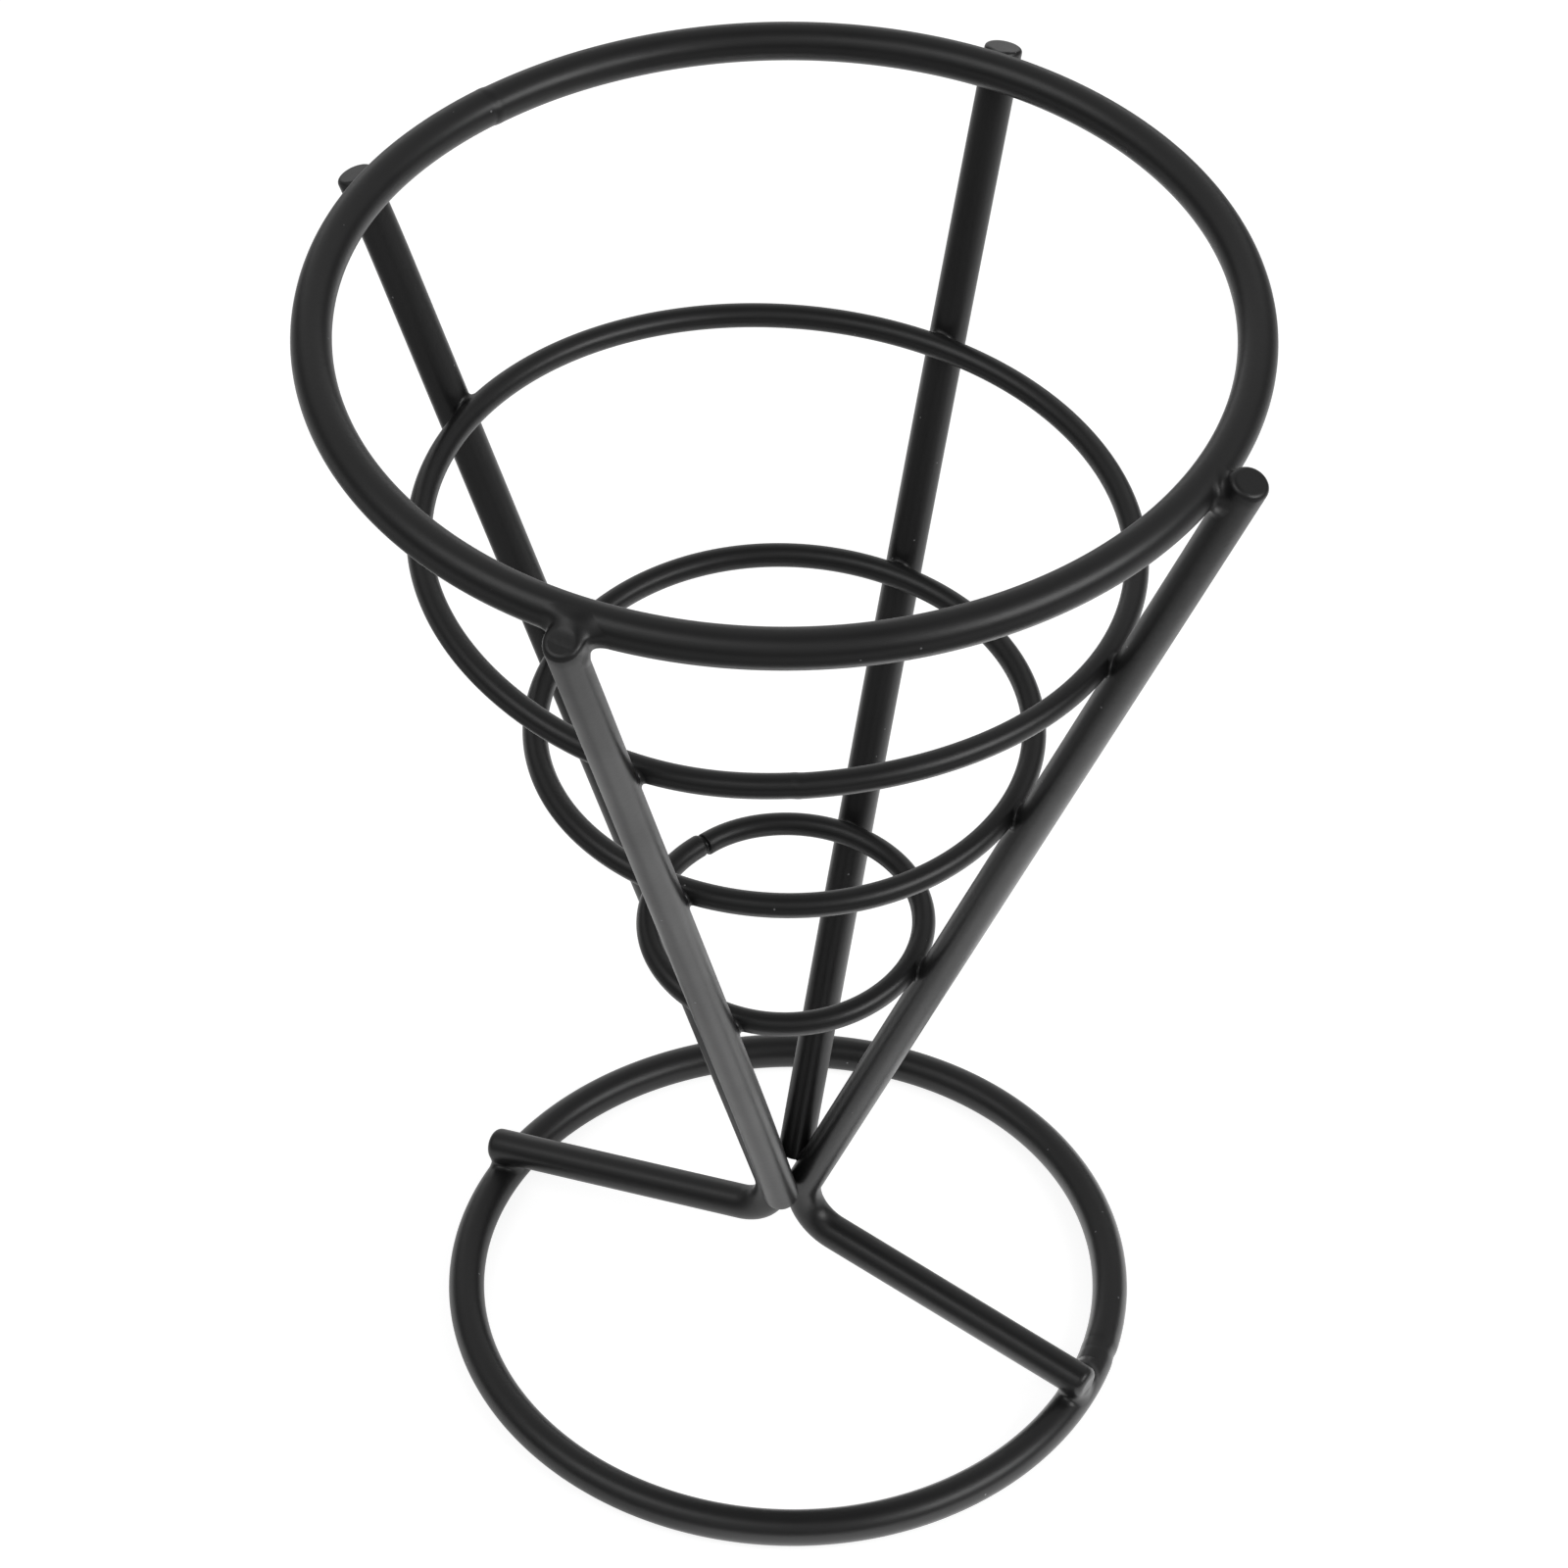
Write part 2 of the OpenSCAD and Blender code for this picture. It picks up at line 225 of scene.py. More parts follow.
# The table's light as the wires reflect it is painted on the floor: a pool of painted light round the
# stand, whose middle lies a little behind the stand's and which fades out between two radii. The right
# of the pool is brighter, and so is the back of the dimmer painted ring round it. Both grow to the side
# distance from the stand's middle. Far away the painted light is even again.
POOL_BACK = 12
POOL_EDGE = (95, 130)
POOL_SIDE = 24
POOL_LIGHT = 0.88
POOL_RIGHT_LIGHT = 0.66
RIM_LIGHT = 0.23
RIM_BACK_LIGHT = 0.7
FAR_EDGE = (350, 450)
FAR_LIGHT = 0.46
# The paper that the camera sees: its colour, and its own light, which no shadow takes away
PAPER = 0.36
PAPER_GLOW = 0.86
# Shares of the painted reflected light: a glow that shadows leave alone, and a diffuse colour they shade
STEADY_SHARE = 0.6
SHADED_SHARE = 0.8
# Half the floor's side in metres
FLOOR_HALF = 3

# Camera of the photograph: degrees round and above the stand, millimetres, and pixels of the photo
CAMERA_AZIMUTH = 29
CAMERA_ELEVATION = 43.676
CAMERA_ROLL = 0.0564
CAMERA_DISTANCE = 942.7
CAMERA_TARGET = (-1.04, 1.45, 101.88)
CAMERA_FOCAL_PX = 7106.65
PHOTO_PX = 1600
CAMERA_CENTRE_PX = (798.92, 801.1)
SENSOR = 36


# Vectors and the frame's pieces

def unit(vector):
    """The same direction, with a length of 1."""
    vector = np.asarray(vector, float)
    return vector / np.linalg.norm(vector)


def plane_axes(normal):
    """Two directions at right angles to a normal, the first towards +X."""
    across = unit(np.cross((0, 1, 0), normal))
    return across, np.cross(normal, across)


def corners(node):
    """Corners of a frame piece's mesh, in millimetres."""
    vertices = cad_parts[node].data.vertices
    flat = np.empty(len(vertices) * 3, np.float32)
    vertices.foreach_get("co", flat)
    return flat.reshape(-1, 3).astype(float) / MM


class Ring:
    """A ring of round wire, measured on the frame's piece."""

    def __init__(self, node):
        at = corners(node)
        normal = np.linalg.svd(at - at.mean(0), full_matrices=False)[2][2]
        self.normal = normal * np.sign(normal[2])
        self.x, self.y = plane_axes(self.normal)
        turns = np.radians(np.arange(0, 360, LOOK_STEP))
        ways = np.cos(turns)[:, None] * self.x + np.sin(turns)[:, None] * self.y
        reach = (at @ ways.T).max(0)
        terms = np.column_stack([np.cos(turns), np.sin(turns), np.ones(len(turns))])
        right, back, outside = np.linalg.lstsq(terms, reach, rcond=None)[0]
        heights = at @ self.normal
        self.wire = np.ptp(heights)
        self.radius = outside - self.wire / 2
        self.centre = right * self.x + back * self.y + (heights.max() + heights.min()) / 2 * self.normal
        self.node = node
        for tolerance in RING_NEAR:
            self.settle(at, tolerance)

    def settle(self, at, tolerance):
        """Moves the ring so that the mesh's corners near its skin lie on it."""
        from_centre = at - self.centre
        height = from_centre @ self.normal
        flat = from_centre - height[:, None] * self.normal
        out = flat / np.linalg.norm(flat, axis=1)[:, None]
        from_wire = from_centre - out * self.radius
        far = np.linalg.norm(from_wire, axis=1)
        on = np.abs(far - self.wire / 2) < tolerance
        pull = from_wire[on] / far[on, None]
        twist = np.cross(from_centre[on], pull)
        ways = np.array([self.x, self.y, self.normal])
        terms = np.column_stack([
            pull @ ways.T, twist @ ways[:2].T, np.einsum("ij,ij->i", pull, out[on]), np.full(on.sum(), 0.5)])
        move = np.linalg.lstsq(terms, far[on] - self.wire / 2, rcond=None)[0]
        self.centre = self.centre + move[:3] @ ways
        self.normal = unit(self.normal + np.cross(move[3:5] @ ways[:2], self.normal))
        self.radius += move[5]
        self.wire += move[6]
        self.x, self.y = plane_axes(self.normal)

    def out(self, bearing):
        """Directions away from the ring's middle, in its plane."""
        turn = np.radians(bearing)
        return np.cos(turn)[:, None] * self.x + np.sin(turn)[:, None] * self.y

    def drift(self, bearing):
        """How far the real wire lies from the true circle."""
        total = np.zeros(len(bearing))
        for times, height, crest in RING_WAVES[self.node]:
            total += height * np.cos(np.radians(times * (bearing - crest)))
        if self.node in RING_HUMPS:
            hump, width, height = RING_HUMPS[self.node]
            away = (bearing - hump + 180) % 360 - 180
            total += height * np.exp(-0.5 * (away / width) ** 2)
        return total

    def points(self, bearing):
        """Points of the real wire's middle, the base ring's lifted so that its girth clears the table."""
        bearing = np.asarray(bearing, float)
        out = self.out(bearing)
        drift = self.drift(bearing)[:, None]
        if self.node == "base_ring":
            thicker = (self.girth(bearing)[:, None] - 1) * self.wire / 2
            return self.centre + out * (self.radius + drift) + self.normal * thicker
        slide = out * CONE_SLOPE[0] + self.normal * CONE_SLOPE[1]
        return self.centre + out * self.radius + slide * drift

    def path(self):
        """The wire's own middle from its joint round to the joint again, and its girth."""
        count = round(2 * math.pi * self.radius / STEP)
        if self.node in OPEN_JOINT:
            joint, space, step, run, _ = OPEN_JOINT[self.node]
            gap = math.degrees(space / self.radius)
            bearing = np.linspace(joint + gap / 2, joint + 360 - gap / 2, count)
            left = np.radians(bearing[-1] - bearing) * self.radius
            shift = step * np.clip(1 - left / run, 0, 1) ** 2
            return self.points(bearing) + self.out(bearing) * shift[:, None], self.girth(bearing)
        bearing = np.linspace(0, 360, count, endpoint=False)
        if self.node not in FLUSH_JOINTS:
            return self.points(bearing), self.girth(bearing)
        joint, step, waist = FLUSH_JOINTS[self.node]
        along = np.arange(-FINE_REACH, FINE_REACH + FINE_STEP / 2, FINE_STEP)
        fine = joint + np.degrees(along / self.radius)
        clear = np.abs((bearing - joint + 180) % 360 - 180) > fine[-1] - joint + FINE_CLEAR
        bearing = np.sort(np.concatenate([bearing[clear], fine]))
        past = np.radians((bearing - joint + 180) % 360 - 180) * self.radius
        shift = step / 2 * np.tanh(past / STEP_LENGTH) * np.exp(-(past / STEP_RUN) ** 2)
        edges = np.tanh((past + WAIST_LENGTH / 2) / WAIST_EDGE)
        edges = edges - np.tanh((past - WAIST_LENGTH / 2) / WAIST_EDGE)
        pinch = waist / 2 * edges / 2
        at = self.points(bearing) + self.out(bearing) * (shift - pinch)[:, None]
        return at, self.girth(bearing) - 2 * pinch / self.wire

    def girth(self, bearing):
        """Share of the wire's width at each bearing."""
        mean, change, crest = RING_GIRTHS[self.node]
        return 1 + mean + change * np.cos(np.radians(bearing - crest))


def fit_line(at, wire):
    """Middle point and direction of a straight round wire, fitted to its mesh's corners."""
    point = at.mean(0)
    way = np.linalg.svd(at - point, full_matrices=False)[2][0]
    for tolerance in ROD_NEAR:
        side, other = np.linalg.svd(way[None])[2][1:]
        along = (at - point) @ way
        off = at - point - along[:, None] * way
        far = np.linalg.norm(off, axis=1)
        on = np.abs(far - wire / 2) < tolerance
        pull = off[on] / far[on, None]
        slopes = np.column_stack([pull @ side, pull @ other])
        terms = np.hstack([slopes, slopes * along[on, None]])
        move = np.linalg.lstsq(terms, far[on] - wire / 2, rcond=None)[0]
        point = point + move[0] * side + move[1] * other
        way = unit(way + move[2] * side + move[3] * other)
    return point, way * np.sign(way[2])


def span(at, point, way):
    """Ends of a straight wire along its own line."""
    along = (at - point) @ way
    return point + way * along.min(), point + way * along.max()


def straight_path(node, bow=0):
    """A straight rod's middle, from its lower end to its top."""
    at = corners(node)
    point, way = fit_line(at, ROD_WIRE)
    low, high = span(at, point, way)
    low_extra, top_extra = ROD_ENDS[node]
    path = even_points(low - way * low_extra, high + way * top_extra)
    path[:, 0] += bow * np.linspace(-1, 1, len(path)) ** 2
    return turned(path, node)


def turned(path, node):
    """A rod's path with its end turned aside where the real one's is."""
    if node not in ROD_TURNS:
        return path
    end, shift, run = ROD_TURNS[node]
    near = np.clip(1 - np.linalg.norm(path - path[end], axis=1) / run, 0, 1)
    return path + near[:, None] ** 2 * shift


def even_points(start, end):
    """Evenly spaced points of a straight stretch, with both its ends."""
    count = max(2, round(np.linalg.norm(end - start) / STRAIGHT_STEP))
    return start + (end - start) * np.linspace(0, 1, count)[:, None]


def bent_path(node, side):
    """A rod's middle from the cut end of its foot, round its bend and up to its top."""
    at = corners(node)
    foot_at = at[(at[:, 0] * side > FOOT_START) & (at[:, 2] < FOOT_TOP)]
    leg_at = at[at[:, 2] > FOOT_TOP]
    leg_point, leg = fit_line(leg_at, ROD_WIRE)
    foot_point, foot = fit_line(foot_at, ROD_WIRE)
    foot = foot * np.sign(foot[0] * side)
    shares = np.linalg.lstsq(np.column_stack([leg, -foot]), foot_point - leg_point, rcond=None)[0]
    corner = (leg_point + leg * shares[0] + foot_point + foot * shares[1]) / 2
    tail_extra, top_extra = ROD_ENDS[node]
    top = span(leg_at, leg_point, leg)[1] + leg * top_extra
    tail = foot_point + foot * (((foot_at - foot_point) @ foot).max() + tail_extra)
    spread = math.acos(leg @ foot)
    run = BEND_R / math.tan(spread / 2)
    centre = corner + unit(leg + foot) * BEND_R / math.sin(spread / 2)
    start = unit(corner + foot * run - centre)
    across = unit(-foot)
    turns = np.linspace(0, math.pi - spread, BEND_POINTS)[1:-1, None]
    bend = centre + BEND_R * (np.cos(turns) * start + np.sin(turns) * across)
    path = np.vstack([even_points(tail, corner + foot * run), bend, even_points(corner + leg * run, top)])
    return turned(path, node)


# Swept wires

def cut_end(first, second, wire, rounding):
    """Points of a path at a cut end, and the share of the wire's width at each of them."""
    turns = np.linspace(0, math.pi / 2, END_RINGS)
    inset = rounding * (1 - np.cos(turns))
    narrow = 1 - 2 * rounding / wire * (1 - np.sin(turns))
    return first + inset[:, None] * unit(second - first), narrow


def cut_ends(path, girth, wire, roundings):
    """A path with rounded cut ends, and the share of the wire's width at each point."""
    head, head_girth = cut_end(path[0], path[1], wire, roundings[0])
    tail, tail_girth = cut_end(path[-1], path[-2], wire, roundings[1])
    clear = np.linalg.norm(path - path[0], axis=1) > CUT_CLEAR * roundings[0]
    clear &= np.linalg.norm(path - path[-1], axis=1) > CUT_CLEAR * roundings[1]
    widths = np.concatenate([head_girth * girth[0], girth[clear], tail_girth[::-1] * girth[-1]])
    return np.vstack([head, path[clear], tail[::-1]]), widths


def sweep_tree():
    """Geometry Nodes tree that draws a round wire along a path of edges."""
    tree = bpy.data.node_groups.new("wire_along_path", "GeometryNodeTree")
    face = tree.interface
    face.new_socket("Path", in_out="INPUT", socket_type="NodeSocketGeometry")
    face.new_socket("Wire diameter", in_out="INPUT", socket_type="NodeSocketFloat")
    face.new_socket("Sides", in_out="INPUT", socket_type="NodeSocketInt")
    face.new_socket("Coat", in_out="INPUT", socket_type="NodeSocketMaterial")
    face.new_socket("Wire", in_out="OUTPUT", socket_type="NodeSocketGeometry")

    def add(kind, **links):
        node = tree.nodes.new(kind)
        for name, value in links.items():
            socket = node.inputs[name.replace("_", " ")]
            if isinstance(value, bpy.types.NodeSocket):
                tree.links.new(value, socket)
            else:
                socket.default_value = value
        return node

    given = tree.nodes.new("NodeGroupInput")
    share = add("GeometryNodeInputNamedAttribute", Name="girth")
    half = add("ShaderNodeMath")
    half.operation = "MULTIPLY"
    tree.links.new(given.outputs["Wire diameter"], half.inputs[0])
    half.inputs[1].default_value = 0.5
    radius = add("ShaderNodeMath")
    radius.operation = "MULTIPLY"
    tree.links.new(half.outputs[0], radius.inputs[0])
    tree.links.new(share.outputs["Attribute"], radius.inputs[1])
    curve = add("GeometryNodeMeshToCurve", Mesh=given.outputs["Path"])
    profile = add("GeometryNodeCurvePrimitiveCircle", Resolution=given.outputs["Sides"], Radius=1.0)
    tube = add("GeometryNodeCurveToMesh", Curve=curve.outputs["Curve"],
               Profile_Curve=profile.outputs["Curve"], Scale=radius.outputs[0], Fill_Caps=True)
    smooth = add("GeometryNodeSetShadeSmooth", Geometry=tube.outputs["Mesh"])
    real = add("GeometryNodeRealizeInstances", Geometry=smooth.outputs["Geometry"])
    coated = add("GeometryNodeSetMaterial", Geometry=real.outputs["Geometry"],
                 Material=given.outputs["Coat"])
    result = tree.nodes.new("NodeGroupOutput")
    tree.links.new(coated.outputs["Geometry"], result.inputs["Wire"])
    return tree


def set_input(modifier, name, value):
    """Sets a Geometry Nodes modifier's input by its name."""
    for item in modifier.node_group.interface.items_tree:
        if item.name == name and item.in_out == "INPUT":
            modifier[item.identifier] = value


def swept_wire(name, path, girth, wire, roundings, coat):
    """A wire's mesh along its path: a closed ring, or a wire whose cut ends are rounded."""
    if roundings:
        path, girth = cut_ends(path, girth, wire, roundings)
    edges = [(i, i + 1) for i in range(len(path) - 1)]
    if not roundings:
        edges.append((len(path) - 1, 0))
    mesh = bpy.data.meshes.new(name)
    mesh.from_pydata((path * MM).tolist(), edges, [])
    mesh.attributes.new("girth", "FLOAT", "POINT").data.foreach_set("value", girth)
    piece = bpy.data.objects.new(name, mesh)
    bpy.context.collection.objects.link(piece)
    modifier = piece.modifiers.new("wire", "NODES")
    modifier.node_group = SWEEP
    set_input(modifier, "Wire diameter", wire * MM)
    set_input(modifier, "Sides", SIDES)
    set_input(modifier, "Coat", coat)
    graph = bpy.context.evaluated_depsgraph_get()
    result = bpy.data.meshes.new_from_object(piece.evaluated_get(graph), depsgraph=graph)
    piece.modifiers.clear()
    piece.data = result
    result.name = name
    return piece


# Blended welds

class Wire:
    """A wire for the welds: its middle, its half width along it, and the rounding of its cut ends."""

    def __init__(self, path, girth, wire, roundings):
        self.path = path if roundings else np.vstack([path, path[:1]])
        radius = girth * wire / 2
        self.radius = radius if roundings else np.append(radius, radius[0])
        self.cuts = []
        if roundings:
            self.cuts = [(path[0], unit(path[0] - path[1]), roundings[0]),
                         (path[-1], unit(path[-1] - path[-2]), roundings[1])]

    def distance(self, at, centre, reach):
        """Distance from the wire's skin at places within reach of a centre, negative inside."""
        path = self.path.copy()
        cuts = []
        for row, (end, way, rounding) in zip((0, -1), self.cuts):
            if np.linalg.norm(end - centre) < reach + END_MARGIN:
                path[row] = end + way * 2 * reach
                cuts.append((end, way, rounding))
        skin = np.full(len(at), NOT_NEAR)
        for start, end, r0, r1 in zip(path[:-1], path[1:], self.radius[:-1], self.radius[1:]):
            way = end - start
            share = np.clip((centre - start) @ way / (way @ way), 0, 1)
            if np.linalg.norm(start + share * way - centre) > reach + PATH_MARGIN:
                continue
            share = np.clip((at - start) @ way / (way @ way), 0, 1)
            apart = np.linalg.norm(at - start - share[:, None] * way, axis=1)
            skin = np.minimum(skin, apart - r0 - (r1 - r0) * share)
        for end, way, rounding in cuts:
            past = (at - end) @ way + rounding
            side = skin + rounding
            both = np.hypot(np.maximum(side, 0), np.maximum(past, 0))
            skin = np.minimum(np.maximum(side, past), 0) + both - rounding
        return skin


def blend(a, b, reach):
    """Union of two distances with a fillet of that reach between them."""
    near = np.maximum(reach - np.abs(a - b), 0)
    return np.minimum(a, b) - near ** 2 / (4 * reach)


def sampled(field, low, step, blocks):
    """A field on a grid, worked out only in the blocks of it that the surface may cross."""
    places = np.argwhere(np.ones(blocks, bool))
    middle = low + step * (places * BLOCK + (BLOCK - 1) / 2)
    rough = field(middle)
    value = np.repeat(rough[:, None], BLOCK ** 3, 1)
    near = np.abs(rough) < BLOCK_MARGIN * step * BLOCK * math.sqrt(3) / 2
    inner = np.argwhere(np.ones((BLOCK, BLOCK, BLOCK), bool))
    at = low + step * (places[near][:, None] * BLOCK + inner)
    value[near] = field(at.reshape(-1, 3)).reshape(-1, BLOCK ** 3)
    shape = value.reshape(*blocks, BLOCK, BLOCK, BLOCK)
    return shape.transpose(0, 3, 1, 4, 2, 5).reshape(blocks * BLOCK)


def surface(field, low, high, step):
    """Mesh of the surface where a field is zero, with one corner in each cell that it crosses."""
    blocks = np.ceil((high - low) / (step * BLOCK)).astype(int)
    counts = blocks * BLOCK
    value = sampled(field, low, step, blocks)
    cells = tuple(counts - 1)
    total = np.zeros((np.prod(cells), 3))
    number = np.zeros(np.prod(cells))
    quads = []
    for axis in range(3):
        first = value.take(range(counts[axis] - 1), axis)
        second = value.take(range(1, counts[axis]), axis)
        crossing = (first < 0) != (second < 0)
        edge = np.argwhere(crossing)
        share = first[crossing] / (first[crossing] - second[crossing])
        point = low + step * edge
        point[:, axis] += step * share
        u, w = (axis + 1) % 3, (axis + 2) % 3
        around = []
        for shift_u, shift_w in ((0, 0), (-1, 0), (-1, -1), (0, -1)):
            cell = edge.copy()
            cell[:, u] += shift_u
            cell[:, w] += shift_w
            index = np.ravel_multi_index(cell.T, cells)
            np.add.at(total, index, point)
            np.add.at(number, index, 1)
            around.append(index)
        quad = np.stack(around, 1)
        inwards = second[crossing] < 0
        quad[inwards] = quad[inwards][:, ::-1]
        quads.append(quad)
    quads = np.vstack(quads)
    used = np.unique(quads)
    at = total[used] / number[used, None]
    for _ in range(SETTLING_ROUNDS):
        at = at - slope_step(field, at, step)
    return at, np.searchsorted(used, quads)


def slope_step(field, at, step):
    """Move that brings points back on a field's zero surface, no longer than a share of a cell."""
    value = field(at)
    slope = np.stack([(field(at + SLOPE_OVER * axis) - value) / SLOPE_OVER for axis in np.eye(3)], 1)
    steep = np.maximum(np.einsum("ij,ij->i", slope, slope), LEAST_SLOPE_SQUARE)
    move = slope * (value / steep)[:, None]
    length = np.linalg.norm(move, axis=1, keepdims=True)
    return move * np.minimum(1, LONGEST_MOVE * step / np.maximum(length, 1e-9))


def uneven(seed, size):
    """A smooth field between -1 and 1 that changes over about that size."""
    random = np.random.default_rng(seed)
    ways = random.normal(size=(RIPPLE_WAVES, 3))
    ways = ways / np.linalg.norm(ways, axis=1, keepdims=True) * 2 * math.pi / size
    phases = random.uniform(0, 2 * math.pi, RIPPLE_WAVES)
    return lambda at: np.sin(at @ ways.T + phases).mean(1)


def weld_skin(wires, centre, reach, grid, fillet, seed, lumps=()):
    """Skin over some wires near a place, filleted between them and just under their own skins elsewhere."""
    ripple = uneven(seed, FILLET_RIPPLE)

    def field(at):
        width = fillet * (1 + FILLET_CHANGE * ripple(at))
        total = None
        for wire in wires:
            apart = wire.distance(at, centre, reach) + SUNK
            total = apart if total is None else blend(total, apart, width)
        for lump, radius in lumps:
            total = blend(total, np.linalg.norm(at - lump, axis=1) - radius, width)
        return np.maximum(total, np.linalg.norm(at - centre, axis=1) - reach)

    room = reach + ROOM_CELLS * grid
    return surface(field, centre - room, centre + room, grid)


def meeting(first, second):
    """Points of two wires' middles where they come nearest each other."""
    best = None
    for start, end in zip(second.path[:-1], second.path[1:]):
        way = end - start
        share = np.clip((first.path - start) @ way / (way @ way), 0, 1)
        apart = first.path - start - share[:, None] * way
        far = np.linalg.norm(apart, axis=1)
        row = far.argmin()
        if best is None or far[row] < best[0]:
            best = (far[row], first.path[row], start + share[row] * way)
    return best[1:]


def joined(meshes):
    """One list of corners and faces from several."""
    corners_all, faces_all, count = [], [], 0
    for at, faces in meshes:
        corners_all.append(at)
        faces_all.append(faces + count)
        count += len(at)
    return np.vstack(corners_all), np.vstack(faces_all)


def mesh_piece(name, at, faces, coat):
    """An object from corners in millimetres and faces, under one coat."""
    mesh = bpy.data.meshes.new(name)
    mesh.from_pydata((at * MM).tolist(), [], faces.tolist())
    mesh.shade_smooth()
    mesh.materials.append(coat)
    mesh.update()
    piece = bpy.data.objects.new(name, mesh)
    bpy.context.collection.objects.link(piece)
    return piece


# Materials

class Value:
    """A socket of a shader tree. Sums, products, powers and comparisons of it add Math nodes."""

    def __init__(self, shader, socket):
        self.shader, self.socket = shader, socket

    def math(self, operation, first, second):
        return self.shader.node("ShaderNodeMath", {"operation": operation}, {0: first, 1: second})[0]

    def __add__(self, other):
        return self.math("ADD", self, other)

    def __radd__(self, other):
        return self.math("ADD", other, self)

    def __sub__(self, other):
        return self.math("SUBTRACT", self, other)

    def __rsub__(self, other):
        return self.math("SUBTRACT", other, self)

    def __pow__(self, other):
        return self.math("POWER", self, other)

    def __mul__(self, other):
        return self.math("MULTIPLY", self, other)

    def __rmul__(self, other):
        return self.math("MULTIPLY", other, self)

    def __gt__(self, other):
        return self.math("GREATER_THAN", self, other)

    def __lt__(self, other):
        return self.math("LESS_THAN", self, other)


class Shader:
    """A material or a world whose nodes are added by calls."""

    def __init__(self, owner, output="ShaderNodeOutputMaterial"):
        self.owner = owner
        owner.use_nodes = True
        self.tree = owner.node_tree
        self.tree.nodes.clear()
        self.output = self.tree.nodes.new(output)

    def node(self, kind, settings=None, inputs=None):
        """Adds a node, sets it, feeds its sockets and returns its outputs."""
        node = self.tree.nodes.new(kind)
        for name, value in (settings or {}).items():
            setattr(node, name, value)
        for name, value in (inputs or {}).items():
            socket = node.inputs[name]
            if isinstance(value, Value):
                self.tree.links.new(value.socket, socket)
            else:
                socket.default_value = value
        return Outputs(self, node)

    def rise(self, value, low, high):
        """Smooth step from 0 at one value to 1 at another."""
        return self.node("ShaderNodeMapRange", {"interpolation_type": "SMOOTHSTEP"}, {
            "Value": value, "From Min": low, "From Max": high})["Result"]

    def grey(self, value):
        """A colour whose three parts are one value."""
        return self.node("ShaderNodeCombineColor", {}, {
            "Red": value, "Green": value, "Blue": value})["Color"]

    def noise(self, place, size, detail):
        """Cloudy values round a half, with features about that many millimetres across."""
        return self.node("ShaderNodeTexNoise", {}, {
            "Vector": place, "Scale": per_mm(size), "Detail": detail})["Fac"]

    def finish(self, surface_socket):
        """Links the surface, and returns the material or world."""
        self.tree.links.new(surface_socket.socket, self.output.inputs["Surface"])
        return self.owner


class Outputs:
    """A node's outputs by name or number."""

    def __init__(self, shader, node):
        self.shader, self.outputs = shader, node.outputs

    def __getitem__(self, name):
        return Value(self.shader, self.outputs[name])


def per_mm(size):
    """Scale of a texture in metres whose features are about that many millimetres across."""
    return 1 / (size * MM)


def powder_coat(name, bumps):
    """Satin black powder coat with a fine orange peel and a few pale specks of dust."""
    shader = Shader(bpy.data.materials.new(name))
    place = shader.node("ShaderNodeTexCoord")["Object"]
    cloud = shader.noise(place, *CLOUDS)
    peel = shader.noise(place, *PEEL)
    grain = shader.noise(place, *GRAIN)
    cells = shader.node("ShaderNodeTexVoronoi", {}, {"Vector": place, "Scale": per_mm(DUST_SPACING)})
    lot = shader.node("ShaderNodeSeparateColor", {}, {"Color": cells["Color"]})
    dust = (cells["Distance"] < DUST_SIZE + DUST_CHANGE * lot["Green"]) * (lot["Red"] > DUST_FREE)
    tone = COAT_TONE * (1 - CLOUD_TONE / 2 + CLOUD_TONE * cloud) + DUST_PALE * dust
    colour = shader.node("ShaderNodeCombineColor", {}, {
        "Red": tone, "Green": tone, "Blue": tone * COAT_BLUE})
    height = peel * PEEL_SHARE + grain * GRAIN_SHARE + dust
    bump = shader.node("ShaderNodeBump", {}, {
        "Strength": bumps, "Distance": BUMP_HEIGHT * MM, "Height": height})
    roughness = COAT_ROUGHNESS - CLOUD_ROUGHNESS / 2 + CLOUD_ROUGHNESS * cloud
    coat = shader.node("ShaderNodeBsdfPrincipled", {}, {
        "Base Color": colour["Color"], "Roughness": roughness, "Normal": bump["Normal"]})
    return shader.finish(coat["BSDF"])


